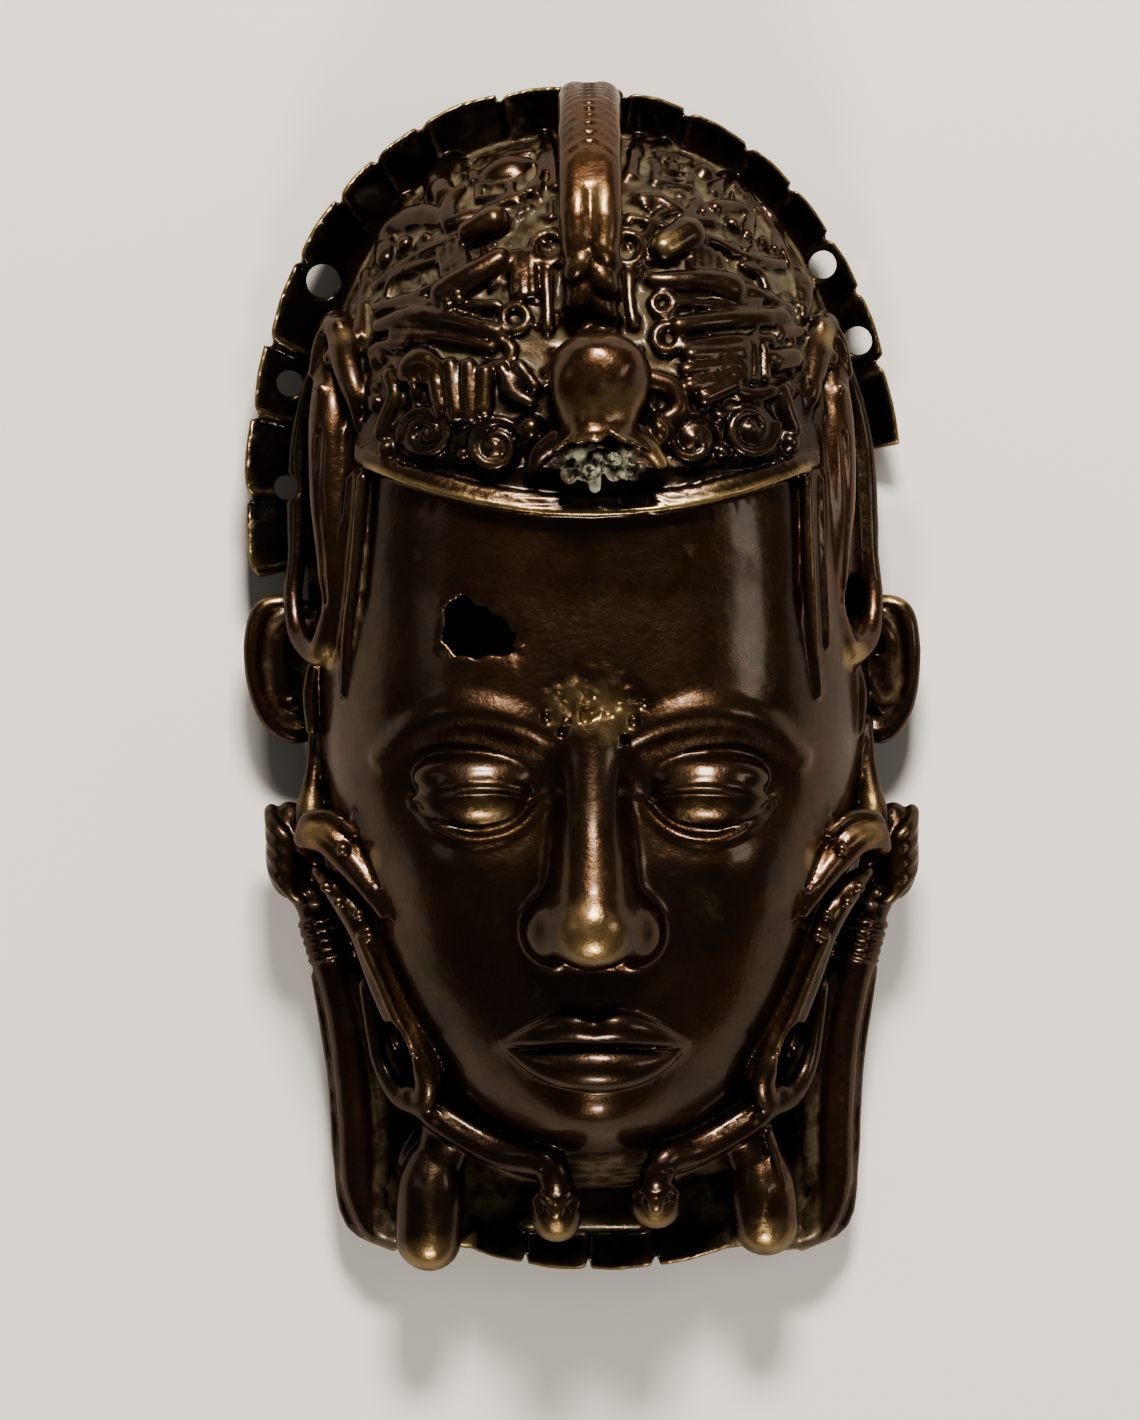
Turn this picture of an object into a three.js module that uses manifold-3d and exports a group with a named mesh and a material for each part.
// A brass hip mask, one hollow casting, lying on the rim of its open back with the face up.
// Millimetres. +Y runs to the crown, +X to the viewer's right and +Z out of the face.
// The origin is under the middle of the casting, in the plane of the rim.
import * as THREE from "three";
import { mergeVertices } from "three/addons/utils/BufferGeometryUtils.js";
import Module from "manifold-3d";

const wasm = await Module();
wasm.setup();

// The hollow head.
const HALF_WIDTH = 47;
const MIDDLE_Y = 8;
const CROWN_REACH = 82;
const JAW_REACH = 94;
const CROWN_SQUARENESS = 2.5;
const JAW_SQUARENESS = 2.3;
const DEPTH = 50;
const DOME_FULLNESS = 3.4;
const WALL = 3;
const LEAN = 0.013;

// The face, by the thirds of a face: hairline to brow, brow to nose and nose to chin are alike.
const HAIR_Y = MIDDLE_Y + CROWN_REACH * 0.268;
const CHIN_Y = MIDDLE_Y - JAW_REACH;
const THIRD = (HAIR_Y - CHIN_Y) / 3;
const BROW_Y = HAIR_Y - THIRD;
const NOSE_Y = BROW_Y - THIRD;
const MOUTH_Y = NOSE_Y - THIRD * 0.36;
const EYE_Y = BROW_Y - THIRD * 0.3;
const EYE_WIDTH = 20;
const EYE_X = EYE_WIDTH * 0.93;
const MOUTH_HALF = 15;

// The creatures at the temples sit a little to the left of the face.
const TEMPLE_SHIFT = -0.9;

// The flange of pleats round the crown, the plate behind the jaw and the frill under the chin.
const FLANGE_MIDDLE = [-2.2, MIDDLE_Y + 20];
const FLANGE_HALF_WIDTH = HALF_WIDTH + 8;
const FLANGE_REACH = CROWN_REACH - 11.5;
const FLANGE_SQUARENESS = 2.15;
const FLANGE_THICK = 1.7;
const FLANGE_ROOT_Z = 4.5;
const FLANGE_EDGE_Z = 8.5;
const PLEAT_HEIGHT = 1.5;
const PLEATS = 17;
const FRILL_HALF_WIDTH = 24;
const FRILL_Y = CHIN_Y - 13.3;

// The plaited loop over the crown and the bell-shaped knob on the forehead.
const PLAIT_X = 1.1;
const PLAIT_LOBES = 6;
const KNOB_RADIUS = 8.1;
const KNOB_LENGTH = 20;

const clamp01 = (t) => Math.min(1, Math.max(0, t));
const superPower = (value, n) => Math.sign(value) * Math.abs(value) ** (2 / n);

// The ornament is drawn on a head 94 wide, 176 tall and 50 deep, and follows the size of this one.
const UNIT = HALF_WIDTH / 47;
const fitY = (y) => MIDDLE_Y + (y - 8) * (y > 8 ? CROWN_REACH / 82 : JAW_REACH / 94);
const fitted = (stations, side = 1) =>
  stations.map(([x, y, z, radius]) => [side * x * UNIT, fitY(y), (z * DEPTH) / 50, radius * UNIT]);

// 0 in the middle of the head and 1 on its rim.
function rimShare(x, y) {
  const up = y > MIDDLE_Y;
  const n = up ? CROWN_SQUARENESS : JAW_SQUARENESS;
  const reach = up ? CROWN_REACH : JAW_REACH;
  return ((Math.abs(x) / HALF_WIDTH) ** n + (Math.abs(y - MIDDLE_Y) / reach) ** n) ** (1 / n);
}

// The broad swellings and hollows of the face: place, half-widths and height, alike on both sides.
const SWELLINGS = [
  { x: 0, y: MOUTH_Y + 1, wide: 22, tall: 14, high: 5.5 },
  { x: 0, y: CHIN_Y + 9, wide: 14, tall: 9, high: 13 },
  { x: 24, y: NOSE_Y + 16, wide: 11, tall: 11, high: 2.5 },
  { x: EYE_X, y: EYE_Y + 1, wide: 15, tall: 8.5, high: -5 },
  { x: 0, y: BROW_Y - 4, wide: 6, tall: 5, high: -2 },
];

const swell = (x, y, s) =>
  s.high * UNIT * Math.exp(-(((x - s.x) / (s.wide * UNIT)) ** 2) - ((y - s.y) / (s.tall * UNIT)) ** 2);

function relief(x, y) {
  const fade = 1 - Math.min(1, rimShare(x, y)) ** 10;
  const sum = SWELLINGS.reduce((total, s) => total + swell(x, y, s) + (s.x > 0 ? swell(-x, y, s) : 0), 0);
  return fade * sum;
}

const dome = (share, wall = 0) => (DEPTH - wall) * Math.sqrt(Math.max(0, 1 - share ** DOME_FULLNESS));
const surface = (x, y) => dome(Math.min(1, rimShare(x, y))) + relief(x, y);

const solidOf = (geometry) => {
  const bare = geometry.clone();
  for (const name of ["normal", "uv"]) bare.deleteAttribute(name);
  const merged = mergeVertices(bare, 1e-4);
  return new wasm.Manifold(
    new wasm.Mesh({
      numProp: 3,
      vertProperties: new Float32Array(merged.attributes.position.array),
      triVerts: new Uint32Array(merged.index.array),
    }),
  );
};

function closedBody(points, triangles) {
  const geometry = new THREE.BufferGeometry();
  geometry.setAttribute("position", new THREE.Float32BufferAttribute(points.flat(), 3));
  geometry.setIndex(triangles);
  return solidOf(geometry);
}

const join = (bodies) => bodies.reduce((whole, body) => whole.add(body));

// The dome of the head on a flat base. Its grid of columns and rows is bent to the rim's outline.
function domeBody(columns, rows, wall, base) {
  const points = [];
  const triangles = [];
  const at = (i, j) => j * (columns + 1) + i;
  for (let j = 0; j <= rows; j++) {
    for (let i = 0; i <= columns; i++) {
      const u = (2 * i) / columns - 1;
      const v = (2 * j) / rows - 1;
      const p = u * Math.sqrt(1 - (v * v) / 2);
      const q = v * Math.sqrt(1 - (u * u) / 2);
      const r = Math.min(1, Math.hypot(p, q));
      const share = r * (1.3 - 0.3 * r);
      const turn = Math.atan2(q, p);
      const n = q > 0 ? CROWN_SQUARENESS : JAW_SQUARENESS;
      const reach = (q > 0 ? CROWN_REACH : JAW_REACH) - wall;
      const stretch = (Math.abs(Math.cos(turn)) ** n + Math.abs(Math.sin(turn)) ** n) ** (-1 / n);
      const x = (HALF_WIDTH - wall) * share * Math.cos(turn) * stretch;
      const y = MIDDLE_Y + reach * share * Math.sin(turn) * stretch;
      const raised = relief(x, y);
      const onRim = i === 0 || j === 0 || i === columns || j === rows;
      const softened = wall ? Math.min(raised, raised * 0.7) : raised;
      points.push([x, y, onRim ? base : dome(share, wall) + softened]);
    }
  }
  for (let j = 0; j < rows; j++) {
    for (let i = 0; i < columns; i++) {
      const [a, b, c, d] = [at(i, j), at(i + 1, j), at(i + 1, j + 1), at(i, j + 1)];
      const alongAC = (i < columns / 2) === (j < rows / 2);
      if (alongAC) triangles.push(a, b, c, a, c, d);
      else triangles.push(a, b, d, b, c, d);
    }
  }
  const rim = [];
  for (let i = 0; i < columns; i++) rim.push(at(i, 0));
  for (let j = 0; j < rows; j++) rim.push(at(columns, j));
  for (let i = columns; i > 0; i--) rim.push(at(i, rows));
  for (let j = rows; j > 0; j--) rim.push(at(0, j));
  points.push([0, MIDDLE_Y, base]);
  const middle = points.length - 1;
  rim.forEach((a, k) => triangles.push(middle, rim[(k + 1) % rim.length], a));
  return closedBody(points, triangles);
}

// A round-ended body along a smooth line. A station is [x, y, z, radius]; thick squashes it across its width.
function loft(stations, { sides = 5, steps = stations.length - 1, thick = 1, across } = {}) {
  const line = new THREE.CatmullRomCurve3(
    stations.map(([x, y, z]) => new THREE.Vector3(x, y, z)),
    false,
    "centripetal",
  );
  const spans = stations.length - 1;
  const apex = sides % 2 ? Math.PI / 2 - Math.PI / sides : 0;
  const points = [];
  const triangles = [];
  const ends = [];
  for (let k = 0; k <= steps; k++) {
    const t = k / steps;
    const from = Math.min(spans - 1, Math.floor(t * spans));
    const radius = THREE.MathUtils.lerp(stations[from][3], stations[from + 1][3], t * spans - from);
    const middle = line.getPoint(t);
    const along = line.getTangent(t);
    const side = across
      ? new THREE.Vector3(...across)
      : along.clone().cross(new THREE.Vector3(0, 0, 1)).normalize();
    const lift = side.clone().cross(along).normalize().multiplyScalar(thick);
    for (let i = 0; i < sides; i++) {
      const turn = (2 * Math.PI * (i + 0.5)) / sides + apex;
      const place = middle
        .clone()
        .addScaledVector(side, radius * Math.cos(turn))
        .addScaledVector(lift, radius * Math.sin(turn));
      points.push(place.toArray());
    }
    if (k === 0) ends.push(middle.clone().addScaledVector(along, -radius * 0.6));
    if (k === steps) ends.push(middle.clone().addScaledVector(along, radius * 0.6));
  }
  for (let k = 0; k < steps; k++) {
    for (let i = 0; i < sides; i++) {
      const next = (i + 1) % sides;
      const [a, b, c, d] = [k * sides + i, k * sides + next, (k + 1) * sides + next, (k + 1) * sides + i];
      triangles.push(a, c, b, a, d, c);
    }
  }
  points.push(ends[0].toArray(), ends[1].toArray());
  for (let i = 0; i < sides; i++) {
    const next = (i + 1) % sides;
    triangles.push(points.length - 2, i, next);
    triangles.push(points.length - 1, steps * sides + next, steps * sides + i);
  }
  return closedBody(points, triangles);
}

// A line laid on the head's front, for relief: each place is [x, y] or [x, y, radius].
function laidOn(places, radius, { lift = 0, sides = 4 } = {}) {
  return loft(
    places.map(([x, y, own = radius]) => [x, y, surface(x, y) + lift, own]),
    { sides },
  );
}

// The same from places drawn on the leaning casting.
function drawn(places, radius, { lift = 0.4, sides = 3 } = {}) {
  const onHead = places.map(([x, y, own = radius]) => [(x + LEAN * y) * UNIT, fitY(y), own * UNIT]);
  return laidOn(onHead, radius, { lift: lift * UNIT, sides });
}

function ellipsoid([x, y, z], [wide, tall, deep], columns = 6, rows = 4) {
  const ball = new THREE.SphereGeometry(1, columns, rows);
  ball.rotateX(Math.PI / 2);
  ball.scale(wide, tall, deep);
  ball.translate(x, y, z);
  return solidOf(ball);
}

// A thin pleated strip from an inner to an outer line, given places along it and how far the pleats have run.
function pleatedStrip(places, pleatAt, innerAt, outerAt) {
  const points = [];
  const triangles = [];
  for (const place of places) {
    const { phase, notch } = pleatAt(place);
    const fold = PLEAT_HEIGHT * (2 * phase - 1);
    const inner = [...innerAt(place), FLANGE_ROOT_Z];
    const outer = [...outerAt(place, notch), FLANGE_EDGE_Z + fold];
    for (const [x, y, z] of [inner, outer]) {
      points.push([x, y, z + FLANGE_THICK / 2], [x, y, z - FLANGE_THICK / 2]);
    }
  }
  const [innerTop, innerUnder, outerTop, outerUnder] = [0, 1, 2, 3];
  const at = (k, corner) => k * 4 + corner;
  const wall = (k, from, to) => {
    triangles.push(at(k, from), at(k, to), at(k + 1, to));
    triangles.push(at(k, from), at(k + 1, to), at(k + 1, from));
  };
  const end = places.length - 1;
  for (let k = 0; k < end; k++) {
    wall(k, innerTop, outerTop);
    wall(k, outerTop, outerUnder);
    wall(k, outerUnder, innerUnder);
    wall(k, innerUnder, innerTop);
  }
  triangles.push(at(0, innerTop), at(0, innerUnder), at(0, outerUnder));
  triangles.push(at(0, innerTop), at(0, outerUnder), at(0, outerTop));
  triangles.push(at(end, innerTop), at(end, outerUnder), at(end, innerUnder));
  triangles.push(at(end, innerTop), at(end, outerTop), at(end, outerUnder));
  return closedBody(points, triangles);
}

const INSIDE_WALL = 0.965;

function onWall([x, y]) {
  const shrink = INSIDE_WALL / rimShare(x, y);
  return [x * shrink, MIDDLE_Y + (y - MIDDLE_Y) * shrink];
}

// Each pleat rises slowly and drops at its end, with a small notch there.
function pleatedPlaces(count) {
  const places = [];
  for (let k = 0; k < count; k++) places.push(k, k + 0.9);
  places.push(count - 0.02);
  return places;
}

function pleatAt(place) {
  const phase = place - Math.floor(place);
  return { phase: clamp01(phase / 0.9), notch: phase > 0.85 ? 0.5 : 0 };
}

// The flange is whole on the left and broken off short on the right, above the ear.
function crownFlange() {
  const start = THREE.MathUtils.degToRad(7.5);
  const end = THREE.MathUtils.degToRad(188.7);
  const holes = [
    [-43.6, 65.2, 2.8],
    [-49.4, 48.6, 2.2],
    [-50.2, 31.3, 2],
    [39.2, 68.4, 2.3],
    [45.4, 55.2, 2.3],
  ];
  const outerAt = (place, notch) => {
    const turn = start + ((end - start) * place) / PLEATS;
    return [
      FLANGE_MIDDLE[0] + (FLANGE_HALF_WIDTH - notch) * superPower(Math.cos(turn), FLANGE_SQUARENESS),
      FLANGE_MIDDLE[1] + (FLANGE_REACH - notch) * superPower(Math.sin(turn), FLANGE_SQUARENESS),
    ];
  };
  let flange = pleatedStrip(pleatedPlaces(PLEATS), pleatAt, (p) => onWall(outerAt(p, 0)), outerAt);
  for (const [x, y, radius] of holes) {
    const pin = new THREE.CylinderGeometry(radius * UNIT, radius * UNIT, DEPTH, 6);
    pin.rotateX(Math.PI / 2);
    pin.translate(x * UNIT, fitY(y), 0);
    flange = flange.subtract(solidOf(pin));
  }
  return flange;
}

// The plain plate that joins the jaw to the arms, and the pleated frill below the chin.
function jawPlate() {
  const right = [[45.5, -36], [42.6, -51], [40, -70], [38.6, -87], [34.5, -93.6], [22, -95.5], [0, -96.5]].map(
    ([x, y]) => [x * UNIT, fitY(y)],
  );
  const left = right.slice(0, -1).map(([x, y]) => [-x, y]);
  const flat = () => ({ phase: 0.3, notch: 0 });
  return pleatedStrip([...left, ...right.toReversed()], flat, onWall, (place) => place);
}

function chinFrill() {
  const pleats = 5;
  const xAt = (place) => (-1 + (2 * place) / pleats) * FRILL_HALF_WIDTH;
  const innerAt = (place) => onWall([xAt(place) * 0.55, CHIN_Y]);
  const outerAt = (place, notch) => {
    const x = xAt(place);
    return [x, FRILL_Y + 4.3 * (x / FRILL_HALF_WIDTH) ** 2 + 3 * notch];
  };
  return pleatedStrip(pleatedPlaces(pleats), pleatAt, innerAt, outerAt);
}

// Brow, half-closed eye and lower lid of one side.
function eyeAndBrow(side) {
  const half = EYE_WIDTH / 2;
  const centre = [side * EYE_X, EYE_Y, surface(EYE_X, EYE_Y) - half * 0.15];
  const ball = ellipsoid(centre, [half, half * 0.6, half * 0.62], 8, 5);
  const lid = ellipsoid(centre, [half * 1.08, half * 0.69, half * 0.72], 8, 5);
  const upperHalf = new THREE.BoxGeometry(half * 4, half * 1.4, half * 3);
  upperHalf.translate(centre[0], EYE_Y + half * 0.52, centre[2]);
  const lowerLid = [[-1.07, 0, 0.7], [-0.62, -0.52, 1.1], [0.1, -0.72, 1.2], [0.65, -0.5, 1.1], [1.1, 0.05, 0.7]];
  const brow = [[-1.36, -0.25, 1.6], [-0.65, 0.1, 2.4], [0.14, 0.25, 2.4], [0.95, 0.05, 2], [1.6, -0.5, 1.2]];
  const across = (line, y) =>
    line.map(([u, v, radius]) => [side * (EYE_X + u * half), y + v * half, radius * UNIT]);
  return join([
    ball,
    lid.intersect(solidOf(upperHalf)),
    laidOn(across(lowerLid, EYE_Y), 1, { sides: 3 }),
    laidOn(across(brow, BROW_Y), 2, { lift: -0.4 }),
  ]);
}

function nose() {
  const bridge = [
    [0, BROW_Y - THIRD * 0.03, DEPTH * 0.92, 4.4 * UNIT],
    [0, BROW_Y - THIRD * 0.34, DEPTH * 0.97, 4.8 * UNIT],
    [0, NOSE_Y + THIRD * 0.38, DEPTH * 1.03, 5.6 * UNIT],
    [0, NOSE_Y + THIRD * 0.14, DEPTH * 1.08, 6.6 * UNIT],
  ];
  const tipY = NOSE_Y + THIRD * 0.13;
  const tip = ellipsoid([0, tipY, DEPTH * 1.09], [6.8 * UNIT, 5.8 * UNIT, 6.6 * UNIT], 8, 5);
  const wings = [-1, 1].map((side) =>
    ellipsoid([side * 7.4 * UNIT, tipY, DEPTH], [5.4 * UNIT, 5.3 * UNIT, 5.8 * UNIT], 6, 5));
  return join([loft(bridge, { sides: 6, across: [1, 0, 0] }), tip, ...wings]);
}

function mouth() {
  const upper = [[-1, 0.4, 0.7], [-0.6, 2.1, 2.3], [-0.23, 3.1, 3.1], [0, 2.6, 2.8], [0.23, 3.1, 3.1],
    [0.6, 2.1, 2.3], [1, 0.4, 0.7]];
  const lower = [[-0.93, -0.8, 0.7], [-0.53, -3, 3], [0, -3.7, 3.9], [0.53, -3, 3], [0.93, -0.8, 0.7]];
  const lip = (line) => {
    const places = line.map(([u, v, radius]) => [u * MOUTH_HALF, MOUTH_Y + v * UNIT, radius * UNIT]);
    return laidOn(places, 1, { sides: 5, lift: -0.3 });
  };
  return join([lip(upper), lip(lower)]);
}

// The raised lower edge of the cap dips over the middle of the forehead, and fillets frame the brow.
function capEdge() {
  const half = HALF_WIDTH * 0.81;
  const places = Array.from({ length: 9 }, (_, k) => {
    const u = -1 + k / 4;
    return [u * half, HAIR_Y - 3.5 + 7 * u * u];
  });
  return laidOn(places, 2.1 * UNIT, { sides: 3, lift: 0.1 });
}

const sideFillet = (side) =>
  laidOn([[37.2, 33], [37.4, 18], [38, 5]].map(([x, y]) => [side * x * UNIT, fitY(y)]), 1.3 * UNIT);

// The break in the forehead, an irregular hole through the wall.
function foreheadBreak() {
  const outline = [[-23.8, 10.5], [-22.5, 12.5], [-20.4, 13.2], [-18.9, 11.4], [-16.6, 10.6], [-13.6, 8.6],
    [-12.2, 6.8], [-12.7, 4], [-15, 3.1], [-19.9, 3], [-23, 4.4], [-24.2, 7.4]];
  const shape = new THREE.Shape(outline.map(([x, y]) => new THREE.Vector2(x * UNIT, fitY(y))));
  const cutter = new THREE.ExtrudeGeometry(shape, { depth: DEPTH, bevelEnabled: false });
  cutter.translate(0, 0, DEPTH / 2);
  return solidOf(cutter);
}

// A plait of two strands side by side, each a row of lobes half a step behind the other.
function plait() {
  const places = [[95.2, 6], [95.2, 19], [91.5, 33], [84.5, 43.5], [75, 49.5], [66, 50], [58, 46]];
  const route = new THREE.CatmullRomCurve3(
    fitted(places.map(([y, z]) => [PLAIT_X, y, z, 0])).map(([x, y, z]) => new THREE.Vector3(x, y, z)),
    false,
    "centripetal",
  );
  const strand = (side) => {
    const halves = PLAIT_LOBES * 2;
    const stations = Array.from({ length: halves + 1 }, (_, k) => {
      const { x, y, z } = route.getPointAt(k / halves);
      const full = (k + (side > 0 ? 1 : 0)) % 2;
      return [x + side * (2.2 + 0.2 * full) * UNIT, y, z, (full ? 3.3 : 2.4) * UNIT];
    });
    return loft(stations, { across: [-1, 0, 0] });
  };
  return join([strand(-1), strand(1)]);
}

// The knob is a bell lying mouth down the forehead, its lip torn and its core standing out ragged.
function knob() {
  const [[x, y, z]] = fitted([[2.2, 56.4, 53.5, 0]]);
  const profile = [[0, 0.15], [0.57, 0.14], [1.08, 0], [0.72, 0.22], [0.86, 0.4], [1, 0.64], [0.84, 0.87], [0, 1]];
  const bell = new THREE.LatheGeometry(
    profile.map(([out, along]) => new THREE.Vector2(out * KNOB_RADIUS, (along - 1) * KNOB_LENGTH)),
    8,
  );
  bell.rotateX(-0.12);
  bell.translate(x, y, z);
  const mouthY = y - KNOB_LENGTH;
  const core = ellipsoid([x, mouthY - 0.5, z - 2], [5.6 * UNIT, 4 * UNIT, 4.5 * UNIT]);
  const tooth = loft([[x - 0.4, mouthY, z + 1, 1.1], [x - 0.4, mouthY - 4.6, z, 0.8]]);
  const seat = loft([[x, y - 4, z - 8, 5.5 * UNIT], [x, y - 15, z - 8, 5.5 * UNIT]]);
  const lugs = [[-9.8, -16.8, -2.5], [9.4, -16.8, -3]].map(([aside, down, back]) =>
    ellipsoid([x + aside * UNIT, y + down * UNIT, z + back * UNIT], [2.4 * UNIT, 3 * UNIT, 3 * UNIT], 5, 4));
  return join([solidOf(bell), core, tooth, seat, ...lugs]);
}

// A flat coil on the band above the forehead.
function coil([x, y], hand) {
  const stations = 9;
  const places = Array.from({ length: stations }, (_, k) => {
    const share = k / (stations - 1);
    const turn = hand * share * 2.7 * Math.PI + 1;
    const reach = 0.6 + 3.8 * share;
    return [x + reach * Math.cos(turn), y + reach * Math.sin(turn)];
  });
  return drawn(places, 1.3, { lift: 0.6 });
}

function ring([x, y], reach) {
  const [atX, atY, step] = [(x + LEAN * y) * UNIT, fitY(y), 0.5];
  const band = new THREE.TorusGeometry(reach * UNIT, 1.1 * UNIT, 3, 6);
  const outward = new THREE.Vector3(
    surface(atX - step, atY) - surface(atX + step, atY),
    surface(atX, atY - step) - surface(atX, atY + step),
    2 * step,
  ).normalize();
  band.applyQuaternion(new THREE.Quaternion().setFromUnitVectors(new THREE.Vector3(0, 0, 1), outward));
  band.translate(atX, atY, surface(atX, atY) + 0.6);
  return solidOf(band);
}

// Relief of the cap: coils, ring-ended rods, forearms with bracelets, and spread fingers.
function capRelief() {
  const coils = [[-26.3, 39.6, 1], [-15, 37.6, -1], [16.6, 38.6, -1], [26.4, 40.8, 1]].map(([x, y, hand]) =>
    coil([x, y], hand));
  const rings = [[-11.8, 58.6, 2.7], [12.3, 58.6, 2.9], [-7, 70.3, 2.9], [6.6, 70.3, 2.9]].map(([x, y, reach]) =>
    ring([x, y], reach));
  const rods = [
    [[-15, 60.8], [-24, 61.4], [-33, 61]], [[-15.4, 56.8], [-23.3, 58], [-33, 57.6]],
    [[15.4, 60.8], [23, 61.2], [32, 61]], [[15.6, 56.6], [22, 57.2], [31, 57.2]],
    [[-36, 63.4], [-28, 69.2], [-24, 71]], [[20.4, 72.6], [25, 69.4], [31.6, 68]],
    [[-19.2, 75.8], [-13, 78.6], [-8.6, 83]], [[6.6, 79.6], [11, 76.4], [15.6, 78]],
  ].map((places) => drawn(places, 1.4));
  const limbs = [
    [[-14.8, 67, 1.9], [-23.8, 63, 2.8]], [[10, 68.4, 1.4], [15, 66.4, 1.7], [22.4, 63.6, 2.8]],
    [[-20.2, 72, 1.9], [-16.4, 74.4, 2.5]], [[12, 74.2, 1.8], [14.4, 70.8, 2.5]],
    [[-21.4, 52.4, 1.8], [-29, 50.8, 2.7]], [[25, 52.4, 2], [29.4, 51.4, 2.4]],
    [[-23, 84.6, 1.8], [-22.8, 80.6, 2.9]], [[17.9, 84.4, 1.8], [18.8, 81.6, 2.8]],
    [[-34.4, 67.4, 2], [-30.6, 71.6, 2.6]], [[24, 74.8, 2.2], [28.4, 71.6, 2.2]],
  ].map((places) => drawn(places, 2, { sides: 4 }));
  const leftFingers = [[-24.4, 45.6], [-20.4, 43], [-16.4, 44.4]].map((tip) => [[-21.6, 53], tip]);
  const rightFingers = [[14.2, 51], [14.6, 47.6], [18.4, 45.6]].map((tip) => [[24.6, 51], tip]);
  const fingers = [...leftFingers, ...rightFingers].map((places) => drawn(places, 2, { lift: 0.6 }));
  return join([...coils, ...rings, ...rods, ...limbs, ...fingers]);
}

// Ear: a cupped plate with a rolled rim, facing the viewer beside the cheekbone. The right one is narrower.
function ear(side) {
  const [root, reach] = [44.8, side > 0 ? 0.78 : 1];
  const rim = [[44.8, 8.5, 9.5, 1.6], [50.5, 12.2, 10.5, 1.5], [54.6, 11.4, 11, 1.4], [56.6, 6, 11, 1.3],
    [56.4, -1, 10.6, 1.4], [53.6, -7.2, 10, 1.6], [49.4, -9.4, 9.6, 2], [44.8, -7.4, 9, 1.8]];
  const plate = [[50.5, 11, 8, 3], [50.9, 4, 7.5, 5.4], [50.6, -3, 7.5, 5.4], [49.8, -9, 8, 3]];
  const narrowed = (stations) => fitted(stations.map(([x, ...rest]) => [root + (x - root) * reach, ...rest]), side);
  return join([loft(narrowed(rim), { sides: 4 }), loft(narrowed(plate), { thick: 0.34 })]);
}

// A creature at the temple: head and beak above, and a body that narrows to a turned-up loop of a tail.
function templeCreature(side) {
  const body = [[40.2, 57.5, 20, 3.6], [41, 51, 21.5, 3.4], [41.4, 42, 25, 4], [41.2, 30, 26.5, 4.1],
    [40.8, 19, 27.6, 3.4], [41.2, 10.5, 27, 2.5], [43.8, 3.9, 24, 2.6], [47.2, 6.4, 19, 1.9], [48.2, 13, 16, 1.6],
    [47.4, 20, 15, 1.8], [47.2, 30, 13.5, 2.1], [47.2, 40, 12, 1.7]];
  const beak = [[39.6, 57, 23, 3.1], [38.6, 51.5, 28, 2.7], [37.2, 46, 31, 2], [36.8, 41, 32, 0.7]];
  const shifted = (stations) => fitted(stations, side).map(([x, ...rest]) => [x + TEMPLE_SHIFT, ...rest]);
  return join([loft(shifted(body), { steps: 13 }), loft(shifted(beak), { sides: 4 })]);
}

// A creature on the cheek: open jaws turned up and out, and a body that runs down to a loop by the mouth.
function cheekCreature(side) {
  const body = [[40.5, -37.6, 25.5, 2.2], [37.6, -42.5, 26.5, 3], [35.6, -48.5, 26.5, 2.9], [32.8, -55.5, 27, 2.9],
    [29.6, -62, 28, 2.7], [27.6, -67, 27.5, 2.5], [28.6, -70.6, 25, 2.4], [32, -70, 22, 2.2], [35, -65.5, 19, 1.9],
    [36.6, -58.5, 18, 1.7], [37.6, -51.5, 18.5, 1.6]];
  const upperJaw = [[48, -27.8, 21, 2], [44.5, -27.6, 24.5, 3.1], [40.2, -30.6, 28, 3], [37, -35, 31, 2.2],
    [34.8, -39.6, 33, 0.8]];
  const lowerJaw = [[44.6, -33.4, 22, 1.6], [41.6, -36.6, 24.5, 2.5], [38.4, -41, 26.5, 2.9]];
  const foreleg = [[38.2, -25, 29, 1.9], [34.6, -31.5, 33, 1.7], [32.2, -39, 35, 1]];
  const parts = [[body, 5, 12], [upperJaw, 4, 4], [lowerJaw, 4, 2], [foreleg, 3, 2]];
  return join(parts.map(([stations, sides, steps]) => loft(fitted(stations, side), { sides, steps })));
}

// An arm at the edge of the jaw plate: elbow below, bracelets at the wrist and a fist round a rod.
function arm(side) {
  const bracelets = [0, 1].flatMap((k) => [
    [44.2 + k * 0.6, -46.6 + k * 3.4, 11, 4.2],
    [44.5 + k * 0.6, -45 + k * 3.4, 11, 3.4],
  ]);
  const forearm = [[31, -93.6, 7, 2.4], [36, -92, 8, 3.2], [38.9, -86, 8.5, 3.6], [39.5, -75, 9, 3.6],
    [40.8, -62, 9.5, 3.6], [43.6, -50, 10.5, 3.7]];
  const palm = [[45.6, -38, 11, 3.4], [47.4, -33, 12, 4.4], [48.8, -28, 12, 4.3], [49.4, -23.2, 12, 2.5]];
  const rod = [[46.4, -11, 13, 1.7], [45.6, -16.6, 14, 2], [47.4, -22, 14, 2], [48.4, -26, 14, 1.8]];
  const fingers = [0, 1, 2, 3].map((k) => {
    const y = -34.7 + k * 3.1;
    return [[47 + k * 0.5, y - 1.6, 15, 1.4], [50.7 + k * 0.5, y - 0.6, 15.2, 1.6], [53.3 + k * 0.2, y + 1, 12, 1.5]];
  });
  return join([
    loft(fitted([...forearm, ...bracelets, ...palm], side)),
    loft(fitted(rod, side), { sides: 3 }),
    ...fingers.map((finger) => loft(fitted(finger, side), { sides: 3 })),
  ]);
}

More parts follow.
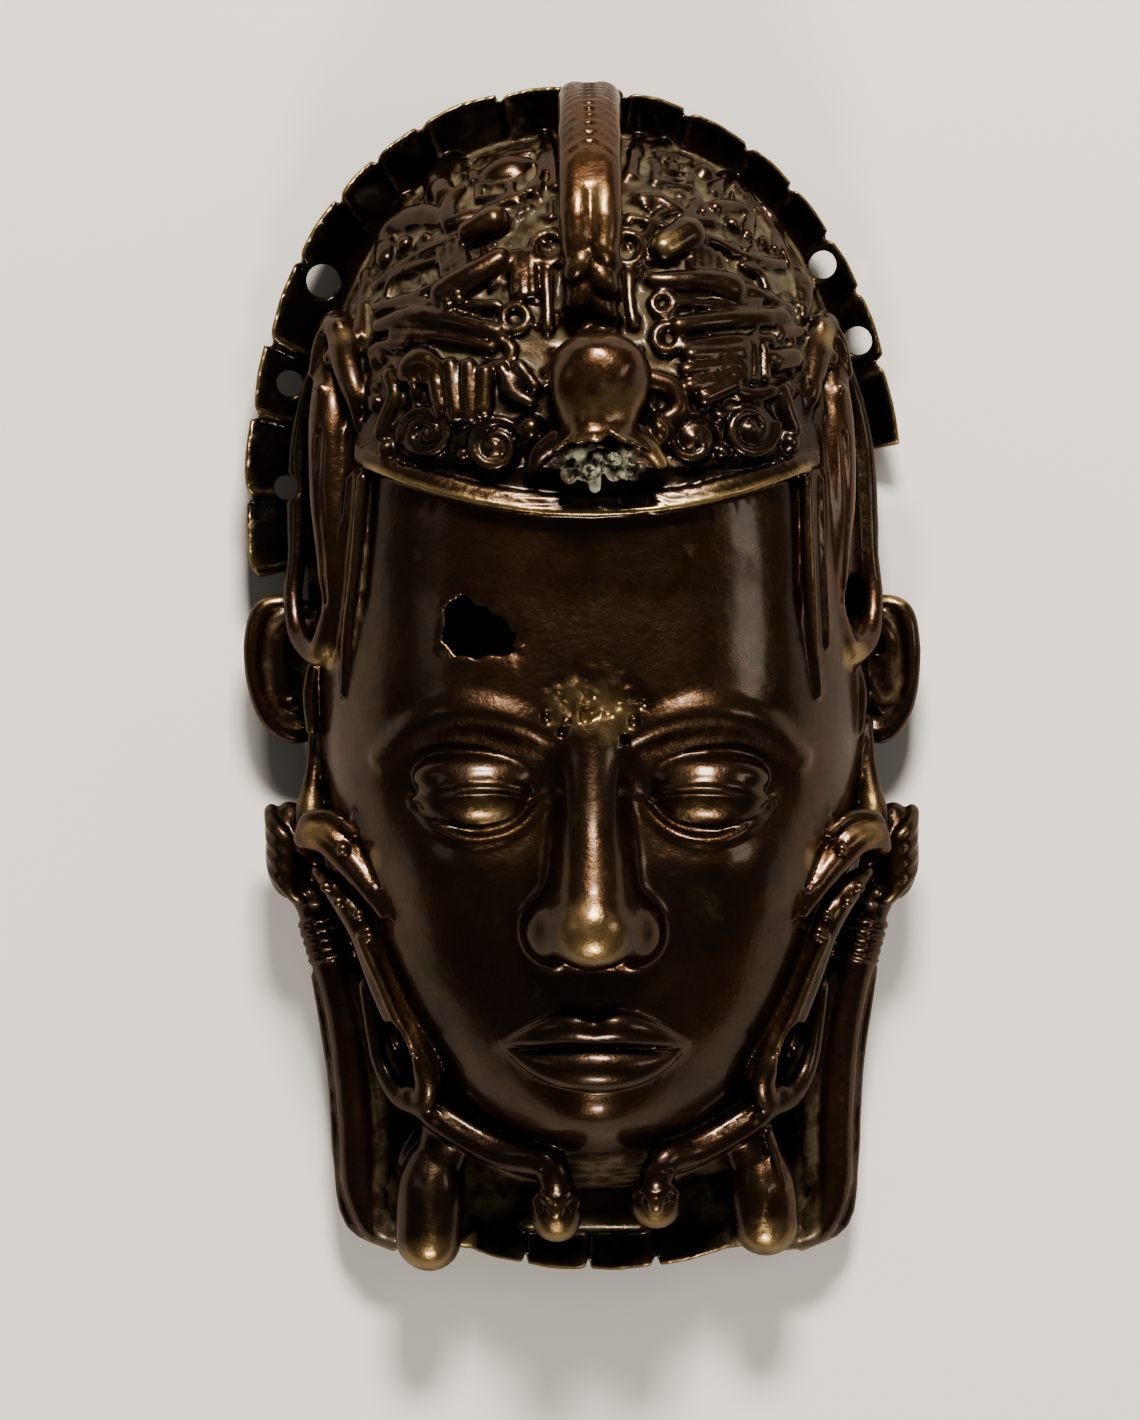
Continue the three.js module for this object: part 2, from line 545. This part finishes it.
// A snake along the jaw, its head hanging over the chin at headX, and a thick stem beside it.
function jawSnake(side, headX, drop) {
  const body = [[28, -69.5, 24, 1.9], [22.5, -74.5, 24, 2.3], [16, -78.6, 26, 2.5], [headX + 1, -80.8, 30, 2.7],
    [headX - 0.4, -84, 30, 2.8], [headX, -86.6, 27, 3.1]];
  const head = [[headX, -85.6, 27, 2.8], [headX, -88, 26.5, 3.7], [headX - 0.1, -90.4 - drop / 2, 25.5, 3.2],
    [headX - 0.2, -91.4 - drop, 24.5, 2]];
  return join([loft(fitted(body, side), { steps: 6, sides: 4 }), loft(fitted(head, side))]);
}

function stem(side, drop) {
  const hump = [[25, -71, 16.5, 4], [24.9, -75.6, 18.6, 4.2], [25.8, -80, 17.8, 4.2]];
  const bulb = [[26.9, -82.6, 17.6, 4.8], [27.5, -86, 17.4, 5.7], [28.1, -91 - drop, 16.6, 5.5]];
  return join([loft(fitted(hump, side)), loft(fitted(bulb, side), { sides: 6 })]);
}

const chinRod = () => loft(fitted([[-12, -91, 8.5, 2.1], [7, -91, 8.5, 2.1]]));

function casting() {
  const head = domeBody(16, 24, 0, 0);
  const hollow = domeBody(10, 14, WALL, -1);
  const onBothSides = [-1, 1].flatMap((side) => [
    eyeAndBrow(side),
    sideFillet(side),
    ear(side),
    templeCreature(side),
    cheekCreature(side),
    arm(side),
  ]);
  const whole = join([
    head,
    crownFlange(),
    jawPlate(),
    chinFrill(),
    nose(),
    mouth(),
    capEdge(),
    capRelief(),
    plait(),
    knob(),
    jawSnake(-1, 6.8, 1.6),
    jawSnake(1, 9.8, -1.2),
    stem(-1, 2.6),
    stem(1, 0),
    chinRod(),
    ...onBothSides,
  ]);
  return whole.subtract(hollow).subtract(foreheadBreak());
}

// The casting leans a little to one side, and its origin goes under its middle.
function maskGeometry() {
  const mesh = casting().getMesh();
  const positions = Float32Array.from(mesh.vertProperties);
  for (let k = 0; k < positions.length; k += 3) positions[k] -= LEAN * positions[k + 1];
  const geometry = new THREE.BufferGeometry();
  geometry.setAttribute("position", new THREE.BufferAttribute(positions, 3));
  geometry.setIndex(Array.from(mesh.triVerts));
  geometry.computeBoundingBox();
  const { min, max } = geometry.boundingBox;
  geometry.translate(-(min.x + max.x) / 2, -(min.y + max.y) / 2, -min.z);
  geometry.computeVertexNormals();
  return geometry;
}

const patina = new THREE.MeshStandardMaterial({ color: 0x2a1e15, roughness: 0.36, metalness: 1 });
const mask = new THREE.Mesh(maskGeometry(), patina);
mask.name = "mask";

const part = new THREE.Group();
part.name = "hip_mask";
part.add(mask);

export default part;
